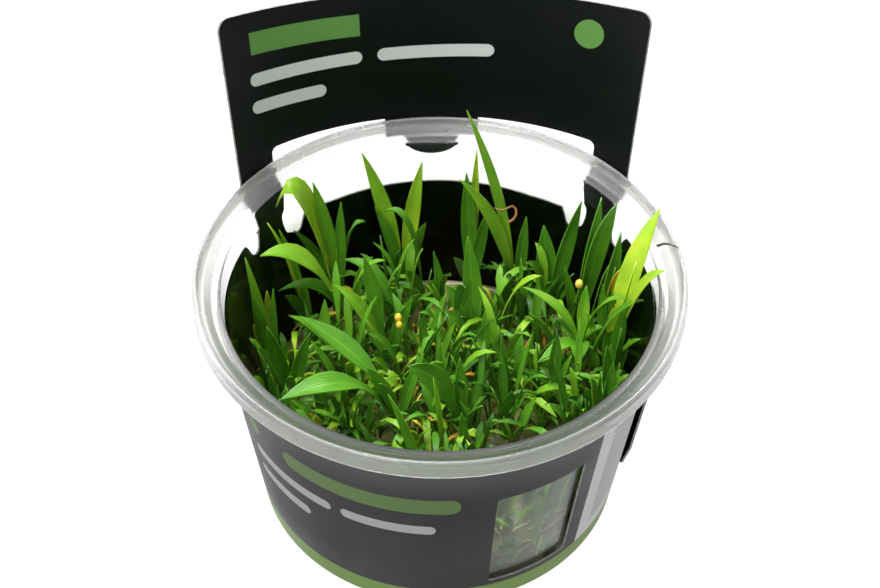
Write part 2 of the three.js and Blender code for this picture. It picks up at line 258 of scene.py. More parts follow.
class Finish(Nodes):
    """One material on a Principled shader, whose own sockets hold what doesn't vary."""

    def __init__(self, name, **steady):
        self.material = bpy.data.materials.new(name)
        self.material.use_nodes = True
        super().__init__(self.material.node_tree)
        self.tree.nodes.clear()
        self.shader = self.tree.nodes.new("ShaderNodeBsdfPrincipled")
        output = self.tree.nodes.new("ShaderNodeOutputMaterial")
        self.tree.links.new(self.shader.outputs[0], output.inputs["Surface"])
        for socket, value in steady.items():
            self.shader.inputs[socket.replace("_", " ")].default_value = value

    def feed(self, **values):
        for socket, value in values.items():
            self.tree.links.new(value.socket, self.shader.inputs[socket.replace("_", " ")])

    def bump(self, height, depth, strength):
        self.feed(Normal=self.node(
            "ShaderNodeBump", {}, {"Height": height, "Distance": depth * MM, "Strength": strength},
        ))


def rgba(colour):
    return colour if isinstance(colour, Value) else (*colour, 1)


def clear_plastic():
    """The wall, misted up to a line a little below the rim."""
    finish = Finish("clear_plastic", Transmission_Weight=1, IOR=1.22)
    haze = finish.noise(60, 4)
    height = finish.part(finish.place(), 2)
    misted = finish.step(height, MIST[1] * MM, MIST[0] * MM)
    finish.feed(
        Base_Color=finish.blend(misted, (0.96, 0.97, 0.965), (0.6, 0.64, 0.54)),
        Roughness=finish.step(haze, 0.3, 0.75, 0.03, 0.1) + misted * 0.05,
    )
    ripple = finish.noise(35, 2, stretch=(1, 1, 3))
    finish.bump(ripple, 0.05, 0.25)
    return finish.material


def milky_plastic(name, clear, front, back, roughness):
    """The thick rim, which lets less through than the wall, with painted shade that darkens it towards the
    front.
    """
    finish = Finish(name, Transmission_Weight=clear, IOR=1.36)
    # Painted shade: the rim's colour runs from its darker front shade to its back shade along Y
    share = finish.step(finish.part(finish.place(), 1), FRONT_SHADE[0] * MM, FRONT_SHADE[1] * MM)
    finish.feed(Base_Color=finish.blend(share, (front, front, front * 0.98), (back, back, back * 0.985)))
    haze = finish.noise(90, 4)
    finish.feed(Roughness=finish.step(haze, 0.3, 0.75, roughness, roughness + 0.1))
    return finish.material


def middle_and_half(span):
    """The middle of a span, and half its length."""
    return (span[0] + span[1]) / 2, (span[1] - span[0]) / 2


class Print:
    """Ink on the card. Places are the card's own: degrees along it and millimetres up it."""

    def __init__(self, finish):
        self.finish = finish
        self.degree = math.radians(1) * HEADER_RADIUS
        card = finish.node("ShaderNodeUVMap", {"uv_map": "card"})
        self.along = finish.part(card, 0) * CARD_MAP[0]
        self.up = finish.part(card, 1) * CARD_MAP[1]

    def inside(self, value, centre, half, soft=INK_EDGE):
        return self.finish.step(abs(value - centre), half + soft, half - soft)

    def box(self, along, up, line=None):
        across = self.inside(self.along, *middle_and_half(along), INK_EDGE * 1.2)
        return across * self.inside(line or self.up, *middle_and_half(up))

    def bar(self, along, up, line=None):
        """A plain bar with round ends."""
        centre, reach = middle_and_half(along)
        level, half = middle_and_half(up)
        beyond = (abs(self.along - centre) - reach) * self.degree + half
        beyond = beyond.largest(0.0)
        rise = (line or self.up) - level
        return self.finish.step((beyond * beyond + rise * rise) ** 0.5, half + 0.07, half - 0.07)

    def disc(self, centre, up, radius, line=None):
        across = (self.along - centre) * self.degree
        rise = (line or self.up) - up
        far = (across * across + rise * rise) ** 0.5
        return self.finish.step(far, radius + 0.08, radius - 0.08)

    def over(self, ground, prints):
        """The ground with each ink printed over it in turn, where its mask is 1."""
        for mask, name in prints:
            ground = self.finish.blend(mask, ground, INK[name])
        return ground


INK = {
    "black": (0.0025, 0.004, 0.0035),
    "charcoal": (0.012, 0.0125, 0.014),
    # Painted light that lifts the band just under the rim
    "painted_light": (0.05, 0.051, 0.052),
    "green": (0.125, 0.3, 0.07),
    "band_green": (0.075, 0.135, 0.032),
    "stripe": (0.12, 0.21, 0.035),
    "white": (0.66, 0.68, 0.67),
    "pale": (0.3, 0.3, 0.3),
    "panel": (0.45, 0.45, 0.45),
    "rule": (0.1, 0.1, 0.1),
}


def card_stock(finish):
    """The fine grain and soft mottling that both printed sides share."""
    grain = finish.noise(900, 3)
    mottle = finish.noise(45, 3)
    finish.feed(Roughness=finish.step(mottle, 0.3, 0.7, 0.34, 0.46))
    finish.bump(grain, 0.02, 0.3)
    return mottle


def printed_outside():
    """Near-black, with a green stripe round its foot, plain bars, a disc and a panel of rules."""
    finish = Finish("printed_outside", Specular_IOR_Level=0.12)
    mottle = card_stock(finish)
    ink = Print(finish)
    ground = finish.blend(finish.step(ink.up, 53, 57), INK["charcoal"], INK["black"])
    ground = finish.blend(mottle * 0.25, ground, INK["black"])
    # Painted light: the band is lightened just under the rim, where the rim's shade falls
    ground = finish.blend(ink.inside(ink.up, 50, 4, 5) * 0.9, ground, INK["painted_light"])
    rules = ink.inside((ink.up * 0.5) % 1.0, 0.5, 0.2, 0.05) * ink.box((229, 262), (11, 47))
    finish.feed(Base_Color=ink.over(ground, [
        (finish.step(ink.up, 7.1, 6.9), "stripe"),
        (ink.box((223.6, 261), (7, BAND_TOP + 1)), "panel"),
        (rules, "rule"),
        (ink.bar((133.6, 183.3), (37.5, 42.5)), "band_green"),
        (ink.bar((118, 148), (29.8, 32.8)), "pale"),
        (ink.bar((151, 177), (29.8, 32.8)), "pale"),
        (ink.bar((118, 140), (23, 26)), "pale"),
        (ink.disc(120, 40, 2.6), "band_green"),
    ]))
    return finish.material


def printed_inside():
    """Near-black, with a green block, a disc and pale bars on the header."""
    finish = Finish("printed_inside", Specular_IOR_Level=0.16)
    mottle = card_stock(finish)
    ink = Print(finish)
    turn = ink.along * math.radians(1)
    line = ink.up - turn * turn * HEADER_DROOP
    tilted = line + ink.along * 0.028
    ground = finish.blend(mottle * 0.3, INK["black"], INK["charcoal"])
    finish.feed(Base_Color=ink.over(ground, [
        (ink.box((17.5, 46.8), (82.4, 87.8), line), "green"),
        (ink.bar((17.2, 48), (75.9, 79.1), tilted), "white"),
        (ink.bar((-15.4, 13.4), (75.9, 79.1), tilted), "white"),
        (ink.bar((27, 48.4), (69, 72.2), tilted), "white"),
        (ink.disc(-39.1, 84.8, 3.5, line), "green"),
    ]))
    return finish.material


def card_core():
    finish = Finish("card_core", Roughness=0.8)
    fibre = finish.noise(700, 4)
    finish.feed(Base_Color=finish.ramp(fibre, [(0.3, (0.16, 0.16, 0.15)), (0.7, (0.34, 0.34, 0.32))]))
    finish.bump(fibre, 0.03, 0.6)
    return finish.material


def gel_side():
    """The gel where it lies against the wall, clouded with fine roots, with painted shade that makes it
    darker than the gel's top, and without a shine of its own.
    """
    finish = Finish(
        "gel_side", Transmission_Weight=0.12, IOR=1.34, Roughness=0.3, Specular_IOR_Level=0.05,
    )
    cloud = finish.noise(150, 4)
    # Painted shade: these colours are a darker copy of the gel top's
    finish.feed(Base_Color=finish.ramp(cloud, [
        (0.3, (0.022, 0.036, 0.01)), (0.5, (0.06, 0.08, 0.03)), (0.7, (0.15, 0.165, 0.08)),
    ]))
    return finish.material


def nutrient_gel():
    """The gel's top, clouded, wet and a little uneven."""
    finish = Finish("nutrient_gel", Transmission_Weight=0.3, IOR=1.34, Roughness=0.15)
    cloud = finish.noise(110, 4)
    finish.feed(Base_Color=finish.ramp(cloud, [
        (0.3, (0.06, 0.09, 0.014)), (0.5, (0.2, 0.22, 0.06)), (0.72, (0.42, 0.38, 0.18)),
    ]))
    wet = finish.noise(130, 3)
    finish.bump(wet, 0.12, 0.5)
    return finish.material


def fresh_leaf():
    """A waxy blade, from dark green to yellow by its tone, with fine veins along it and a paler midrib."""
    finish = Finish(
        "fresh_leaf", Subsurface_Weight=0.25, Subsurface_Scale=0.0006, Subsurface_Radius=(0.5, 1, 0.15),
        IOR=1.42,
    )
    tone = finish.node("ShaderNodeAttribute", {"attribute_name": "tone"}, output="Fac")
    sheet = finish.node("ShaderNodeUVMap", {"uv_map": "leaf"})
    across, along = finish.part(sheet, 0), finish.part(sheet, 1)
    patch = finish.noise(160, 3)
    share = tone + (patch - 0.5) * 0.34 + finish.step(along, 0.22, 0.0) * 0.1
    colour = finish.ramp(share, [
        (0.0, (0.008, 0.035, 0.003)), (0.3, (0.032, 0.135, 0.007)), (0.55, (0.09, 0.28, 0.014)),
        (0.75, (0.23, 0.45, 0.02)), (0.9, (0.45, 0.6, 0.03)), (1.0, (0.62, 0.36, 0.03)),
    ])
    vein = finish.node("ShaderNodeMath", {"operation": "SINE"}, {0: across * 56})
    colour = finish.blend(finish.step(vein, 0.1, 0.9) * 0.22, colour, (0.16, 0.42, 0.03))
    rib = finish.step(abs(across - 0.5), 0.07, 0.0)
    colour = finish.blend(rib * 0.35, colour, (0.2, 0.5, 0.04))
    finish.feed(Base_Color=colour, Roughness=finish.step(patch, 0.3, 0.7, 0.3, 0.46))
    finish.bump(vein * 0.5 - rib, 0.06, 0.5)
    return finish.material


# Dark colour, light colour and roughness of plain growth
GROWTH = {
    "pale_root": ((0.5, 0.48, 0.3), (0.8, 0.78, 0.62), 0.4),
    "green_stalk": ((0.06, 0.2, 0.012), (0.16, 0.36, 0.03), 0.4),
    "brown_stem": ((0.12, 0.04, 0.01), (0.36, 0.15, 0.03), 0.4),
    "dark_fibre": ((0.03, 0.03, 0.012), (0.06, 0.06, 0.03), 0.6),
    "bud": ((0.75, 0.46, 0.02), (0.86, 0.7, 0.12), 0.4),
}


def plain_growth(name):
    dark, light, roughness = GROWTH[name]
    finish = Finish(name, Roughness=roughness, Subsurface_Weight=0.15, Subsurface_Scale=0.0005)
    patch = finish.noise(260, 4)
    finish.feed(Base_Color=finish.ramp(patch, [(0.3, dark), (0.7, light)]))
    finish.bump(patch, 0.08, 0.6)
    return finish.material


def pale_floor():
    finish = Finish(
        "pale_floor", Roughness=0.9, Emission_Color=(1, 1, 1, 1), Emission_Strength=1, Specular_IOR_Level=0,
    )
    speck = finish.noise(4, 2)
    finish.feed(Base_Color=finish.ramp(speck, [(0.0, (0.1, 0.1, 0.1)), (1.0, (0.12, 0.12, 0.12))]))
    return finish.material


# Making pieces

def around(degrees, radius, height):
    """Place on a circle round the axis; the angle runs from +Y towards -X."""
    angle = math.radians(degrees)
    return Vector((-radius * math.sin(angle), radius * math.cos(angle), height))


def evenly(start, end, steps):
    return [start + (end - start) * i / steps for i in range(steps + 1)]


def on_ring(radius, bearing):
    """Place on a circle in the ground plane; the bearing runs from +X towards +Y."""
    turn = math.radians(bearing)
    return radius * math.cos(turn), radius * math.sin(turn)


def finish_piece(name, shape, finishes, stands_for=(), crease=60):
    """Makes a shape drawn in millimetres into a smooth-shaded piece that rides on the cup."""
    bmesh.ops.transform(shape, matrix=Matrix.Scale(MM, 4), verts=shape.verts)
    for face in shape.faces:
        face.smooth = True
    # An open edge counts as sharp
    for edge in shape.edges:
        edge.smooth = edge.calc_face_angle(math.pi) < math.radians(crease)
    mesh = bpy.data.meshes.new(name)
    shape.to_mesh(mesh)
    shape.free()
    for finish in finishes:
        mesh.materials.append(finish)
    piece = bpy.data.objects.new(name, mesh)
    bpy.context.scene.collection.objects.link(piece)
    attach(piece, "root")
    if stands_for:
        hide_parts(*stands_for)
    return piece


def thicken(piece, thickness, offset=0.0, inner=0, edge=0):
    skin = piece.modifiers.new("thickness", "SOLIDIFY")
    skin.thickness = thickness * MM
    skin.offset = offset
    skin.use_even_offset = False
    skin.material_offset = inner
    skin.material_offset_rim = edge


def turned(profile, steps, rounding=0.0):
    """Turns a profile of (radius, height) points round the cup's axis, and rounds its ring edges."""
    shape = bmesh.new()
    points = [shape.verts.new((radius, 0, height)) for radius, height in profile]
    lines = [shape.edges.new(pair) for pair in zip(points, points[1:])]
    bmesh.ops.spin(
        shape, geom=points + lines, cent=(0, 0, 0), axis=(0, 0, 1), angle=math.tau, steps=steps,
        use_merge=True,
    )
    bmesh.ops.remove_doubles(shape, verts=shape.verts, dist=1e-3)
    bmesh.ops.recalc_face_normals(shape, faces=shape.faces)
    if rounding:
        rings = [edge for edge in shape.edges
                 if edge.calc_face_angle(0) > math.radians(12) and edge.verts[0].co.xy.length > 1]
        bmesh.ops.bevel(
            shape, geom=rings, offset=rounding, offset_type="OFFSET", segments=3, profile=0.5,
            affect="EDGES", clamp_overlap=True, material=-1,
        )
    return shape


# The cup

def wall_outer(height):
    return FOOT_RADIUS + TAPER * (height - BAND_FOOT)


def wall_inner(height):
    return wall_outer(height) - WALL


def make_cup(plastic, slope, roll):
    """A tapered cup with a crease, a sloping ledge for the lid and a rim rolled over into a skirt."""
    skirt_foot = CUP_HEIGHT - SKIRT_DEPTH
    profile = [
        (0, FOOT_RISE), (FOOT_RING[0], FOOT_RISE), (FOOT_RING[1], 0), (FOOT_RADIUS - 1.2, 0),
        (FOOT_RADIUS, 1.3), (wall_outer(CREASE), CREASE), (wall_outer(CREASE) + 0.25, CREASE + 0.4),
        (wall_outer(56.3) + 0.1, 56.3),
        (LEDGE_RADIUS + 0.6, 56.9), (LEDGE_RADIUS + 2, 59), (RIM_RADIUS - 1.3, 59.6),
        (RIM_RADIUS - WALL, 59), (RIM_RADIUS - WALL, skirt_foot), (RIM_RADIUS, skirt_foot),
        (RIM_RADIUS, 59.1), (RIM_RADIUS - 0.2, 60.1), (RIM_RADIUS - 0.7, CUP_HEIGHT),
        (RIM_RADIUS - 1.3, CUP_HEIGHT - 0.3), (RIM_RADIUS - 2, 59.4),
        (LEDGE_RADIUS + 0.8, 58.3), (LEDGE_RADIUS, CUP_HEIGHT - 2.8), (wall_inner(57), CUP_HEIGHT - 3),
        (wall_inner(56.6), 56.6), (wall_inner(CREASE) + 0.25, CREASE + 0.4), (wall_inner(CREASE), CREASE),
        (wall_inner(2.4), 2.4), (FOOT_RADIUS - 2, FLOOR + 0.1),
        (FOOT_RING[0], FLOOR + FOOT_RISE), (0, FLOOR + FOOT_RISE),
    ]
    cup = turned(profile, 192, RING_ROUNDING)
    for face in cup.faces:
        middle = face.calc_center_median()
        rolled = middle.xy.length > RIM_RADIUS - 1
        face.material_index = 2 if rolled else int(middle.z > CUP_HEIGHT - 3.4)
    finish_piece("cup_shell", cup, [plastic, slope, roll], ["cup"], 50)


# The card sleeve, cut flat from one sheet and rolled round the cup

def card_radius(height):
    if height <= BAND_TOP:
        return FOOT_RADIUS + CLEARANCE + CARD + TAPER * (height - BAND_FOOT)
    if height >= HEADER_FOOT:
        return HEADER_RADIUS + HEADER_FLARE * (height - HEADER_FOOT)
    share = (height - BAND_TOP) / (HEADER_FOOT - BAND_TOP)
    return card_radius(BAND_TOP) + share * (HEADER_RADIUS - card_radius(BAND_TOP))


def rounded_by(distance, radius):
    """How far a round corner pulls an edge back, from the distance still left to the side."""
    if distance >= radius:
        return 0
    return radius - math.sqrt(radius * radius - (radius - distance) ** 2)


def header_top(angle):
    side = math.radians(HEADER_HALF - abs(angle)) * HEADER_RADIUS
    return HEADER_TOP + HEADER_DROOP * math.radians(angle) ** 2 - rounded_by(side, HEADER_CORNER)


def tab_foot(angle):
    """The tab's straight foot, with a round tongue in its middle."""
    offset = min(1, abs(angle) / TAB["tongue"])
    return TAB["foot"] - (TAB["foot"] - TAB["tip"]) * math.sqrt(1 - offset * offset)


def window_top(angle):
    side = math.radians(WINDOW_HALF - abs(angle)) * HEADER_RADIUS
    return WINDOW_TOP + WINDOW_DROOP * math.radians(angle) ** 2 - rounded_by(side, WINDOW_CORNER)


# Edges of the card beside a leg: angle from the header's middle, and height
NOTCH_FLOOR = [
    (30, FLAP_TOP + 0.3), (40.8, FLAP_TOP + 1), (41.6, FLAP_TOP - 0.2), (43.1, 43.3), (44.8, 43),
    (46.7, 43.8), (48.2, 44.5), (48.9, 45.6), (49.4, 47.5),
]
LEG_INSIDE = [(49.4, 47.5), (49.3, 49.8), (47.6, 51.4), (45.3, 53.2), (44.3, 55.2), (44.2, 58.6)]
LEG_OUTSIDE = [
    (HEADER_HALF, 60), (56, 57.2), (56.5, 54.6), (57.7, 52.4), (59.5, 50.4), (60.1, 48.4), (61.1, 46.9),
    (62.8, 46.6), (64.4, 47.7), (65.4, 49.4), (66.3, 50.8), (68, BAND_TOP),
]


def eased(points):
    """The same bent line in four times the steps, passing smoothly through the points given."""
    line = [Vector(point) for point in points]
    line = [2 * line[0] - line[1], *line, 2 * line[-1] - line[-2]]
    through = []
    for a, b, c, d in zip(line, line[1:], line[2:], line[3:]):
        for t in (0, 0.25, 0.5, 0.75):
            through.append(0.5 * (2 * b + (c - a) * t + (2 * a - 5 * b + 4 * c - d) * t * t
                                  + (3 * b - a - 3 * c + d) * t ** 3))
    return [(p.x, p.y) for p in through] + [points[-1]]


def mirrored(points):
    return [(-angle, height) for angle, height in reversed(points)]


def card_outline():
    """The sheet's edge: angle along the card, from its free end to the end under the lap, and height."""
    end = 360 + LAP["fixed"]
    side = eased(LEG_OUTSIDE)[::-1]
    corner = [HEADER_HALF - step for step in (0, 0.1, 0.4, 0.9, 1.7, 2.6, 3.4)]
    over = [*corner, *evenly(51, -51, 68), *[-at for at in reversed(corner)]]
    top = [(angle, header_top(angle)) for angle in over]
    return [
        (LAP["foot"], BAND_FOOT), (end, BAND_FOOT), (end, BAND_TOP), *side, *top, *mirrored(side),
        (LAP["free"], BAND_TOP), (LAP["free"], LAP["low"] + 3), (LAP["free"] + 2, LAP["low"] + 1),
        (LAP["foot"], LAP["low"]),
    ]


def opening_outline():
    """The opening between band and header: notches, legs, and the window with the tab hanging into it."""
    notch = [NOTCH_FLOOR[0], *eased(NOTCH_FLOOR[1:]), *eased(LEG_INSIDE)[1:]]
    outer = [WINDOW_HALF - step for step in (0.02, 0.2, 0.5, 1, 1.7)]
    over = [(angle, window_top(angle)) for angle in (*outer, *evenly(42, TAB["half"], 20))]
    tongue = [TAB["tongue"] * math.cos(math.pi * i / 24) for i in range(25)]
    tab = [(angle, tab_foot(angle)) for angle in (TAB["half"], *tongue, -TAB["half"])]
    return [*notch, *over, *tab, *mirrored(over), *mirrored(notch)]


def label_outline():
    """The label window, a rectangle with small round corners."""
    low, high = LABEL_WINDOW["low"], LABEL_WINDOW["high"]
    near, far = LABEL_WINDOW["from"], LABEL_WINDOW["to"]
    pull = [(0, 0.8), (0.25, 0.25), (1.1, 0)]
    corners = []
    for angle, height, turn, rise, swap in (
        (near, low, 1, 1, False), (far, low, -1, 1, True),
        (far, high, -1, -1, False), (near, high, 1, -1, True),
    ):
        run = [(angle + turn * a, height + rise * b) for a, b in pull]
        corners += run[::-1] if swap else run
    return corners


def lap_lift(angle, height):
    """How far the loose end stands off the layer beneath it."""
    if angle > LAP["flush"]:
        return 0
    under = min(1, (LAP["flush"] - angle) / (LAP["flush"] - LAP["fixed"]))
    loose = max(0, (LAP["fixed"] - angle) / (LAP["fixed"] - LAP["free"]))
    risen = min(1, max(0, (height - LAP["low"]) / LAP["rising"]))
    return under * (CARD + LAP["gap"]) + loose * LAP["stand"] * risen * risen * (3 - 2 * risen)


def make_sleeve(outside, inside, core):
    sheet = bmesh.new()
    for outline in (card_outline(), opening_outline(), label_outline()):
        points = [sheet.verts.new((angle, height, 0)) for angle, height in outline]
        for pair in zip(points, points[1:] + points[:1]):
            sheet.edges.new(pair)
    bmesh.ops.remove_doubles(sheet, verts=sheet.verts, dist=1e-3)
    bmesh.ops.triangle_fill(sheet, use_beauty=True, use_dissolve=False, edges=sheet.edges)
    # Narrow strips, so that the sheet can be rolled
    for angle in evenly(-105, 270, 250):
        cut_across(sheet, (angle, 0, 0), (1, 0, 0))
    for height in (*evenly(6, BAND_TOP, 8), HEADER_FOOT, 66, 76, 86):
        cut_across(sheet, (0, height, 0), (0, 1, 0))
    card = sheet.loops.layers.uv.new("card")
    for face in sheet.faces:
        for loop in face.loops:
            loop[card].uv = (loop.vert.co.x / CARD_MAP[0], loop.vert.co.y / CARD_MAP[1])
    for vert in sheet.verts:
        angle, height = vert.co.x, vert.co.y
        vert.co = around(angle, card_radius(height) + lap_lift(angle, height), height)
    face_outwards(sheet)
    piece = finish_piece("card_sleeve", sheet, [outside, inside, core], ["sleeve"], 40)
    thicken(piece, CARD, -1, 1, 2)


def cut_across(shape, place, normal):
    bmesh.ops.bisect_plane(
        shape, geom=shape.verts[:] + shape.edges[:] + shape.faces[:], dist=1e-4,
        plane_co=place, plane_no=normal,
    )


def face_outwards(shape):
    """Turns every face of a sheet rolled round the axis away from the axis."""
    shape.normal_update()
    inward = [face for face in shape.faces
              if face.normal.dot(face.calc_center_median() * LEVEL) < 0]
    bmesh.ops.reverse_faces(shape, faces=inward)


# The gel

def gel_edge(height):
    """The gel's radius, a hair short of the cup's wall."""
    return wall_inner(height) - GEL_GAP


def make_gel(jelly, side):
    """The bed of gel, with low ripples on top and an edge that creeps a little up the wall."""
    top = [(gel_edge(GEL_TOP) - 0.9 - i * 3.5, GEL_TOP + 0.06 * math.sin(i * 1.9)) for i in range(11)]
    bed = turned([
        (0, FLOOR + 0.7), (FOOT_RING[0], FLOOR + 0.7), (FOOT_RADIUS - 3, FLOOR + 0.7),
        (gel_edge(3) - GEL_DRAWN_IN, 3), (gel_edge(16) - GEL_DRAWN_IN, 16),
        (gel_edge(GEL_TOP + MENISCUS), GEL_TOP + MENISCUS), (gel_edge(GEL_TOP) - 0.35, GEL_TOP + 0.15),
        *top, (0, GEL_TOP),
    ], 120)
    for face in bed.faces:
        face.material_index = int(abs(face.normal.z) < 0.7)
    finish_piece("gel_bed", bed, [jelly, side], ["gel"], 50)


# The plantlets

def leaf_shape(t, stalk):
    """How wide a leaf is along its length, as a share of its widest place; the stalk is its narrow foot."""
    belly = 0.45 + stalk * 0.55
    if t < belly:
        opened = max(0, (t - stalk) / (belly - stalk))
        return 0.35 + 0.65 * math.sin(math.pi / 2 * opened) ** (1 + stalk)
    return max(0.03, 1 - ((t - belly) / (1 - belly)) ** 2)


def grow_leaf(shape, crown, leaf, across=4, along=12, hollow=0.3):
    """A blade laid along a bent line from its crown to its tip, a little hollowed along its middle."""
    x, y, z, rise, wide, face, tone, *more = leaf
    stalk, lean = [*more, *(LEAF_STALK, LEAF_LEAN)[len(more):]]
    tip = Vector((x, y, z))
    out = (tip - crown) * LEVEL
    base = crown + out.normalized() * 0.4
    reach = (tip - base) * LEVEL
    control = base + reach * lean + Vector((0, 0, rise))
    width = Vector((*on_ring(1, face), 0))
    grid = bmesh.ops.create_grid(shape, x_segments=across, y_segments=along, size=1)
    tones = shape.verts.layers.float["tone"]
    sheet = shape.loops.layers.uv["leaf"]
    for vert in grid["verts"]:
        u, t = vert.co.x, (vert.co.y + 1) / 2
        for loop in vert.link_loops:
            loop[sheet].uv = ((u + 1) / 2, t)
        tangent = ((control - base) * (1 - t) + (tip - control) * t).normalized()
        blade = (width - tangent * width.dot(tangent)).normalized()
        upward = tangent.cross(blade)
        if upward.z < 0:
            upward = -upward
        place = base * (1 - t) ** 2 + control * (2 * t * (1 - t)) + tip * t * t
        half = leaf_shape(t, stalk) * wide / 2
        vert.co = place + blade * (u * half) + upward * (hollow * half * (u * u - 0.5))
        vert[tones] = tone


def new_growth():
    shape = bmesh.new()
    shape.verts.layers.float.new("tone")
    shape.loops.layers.uv.new("leaf")
    return shape


def grow_crown(shape, x, y, foot, height, rng):
    """Short sheaths wrapped round each other where the leaves come out."""
    for i in range(4):
        turn = rng.uniform(0, 360)
        lean = Vector((*on_ring(1, turn), 0))
        base = Vector((x, y, foot - 1.2)) - lean * 0.4
        tip = base + lean * rng.uniform(0.9, 1.6) + Vector((0, 0, height + rng.uniform(1.5, 3.5)))
        leaf = (*tip, height * 0.6, rng.uniform(1.7, 2.3), turn + 90, rng.uniform(0.5, 0.95))
        grow_leaf(shape, base, leaf, 4, 6, 0.9)


def make_plantlet(number, plant, green):
    rng = random.Random(number)
    x, y, stem = (*plant["at"], 0)[:3]
    foot = GEL_TOP + CROWN_GAP
    height = CROWN_HEIGHT + stem
    crown = Vector((x, y, foot + height - 1.4))
    shape = new_growth()
    grow_crown(shape, x, y, foot, height, rng)
    for leaf in plant["leaves"]:
        grow_leaf(shape, crown, leaf)
    name = f"plantlet_{number:02d}"
    thicken(finish_piece(f"leaves_{number:02d}", shape, [green], [name]), 0.24)


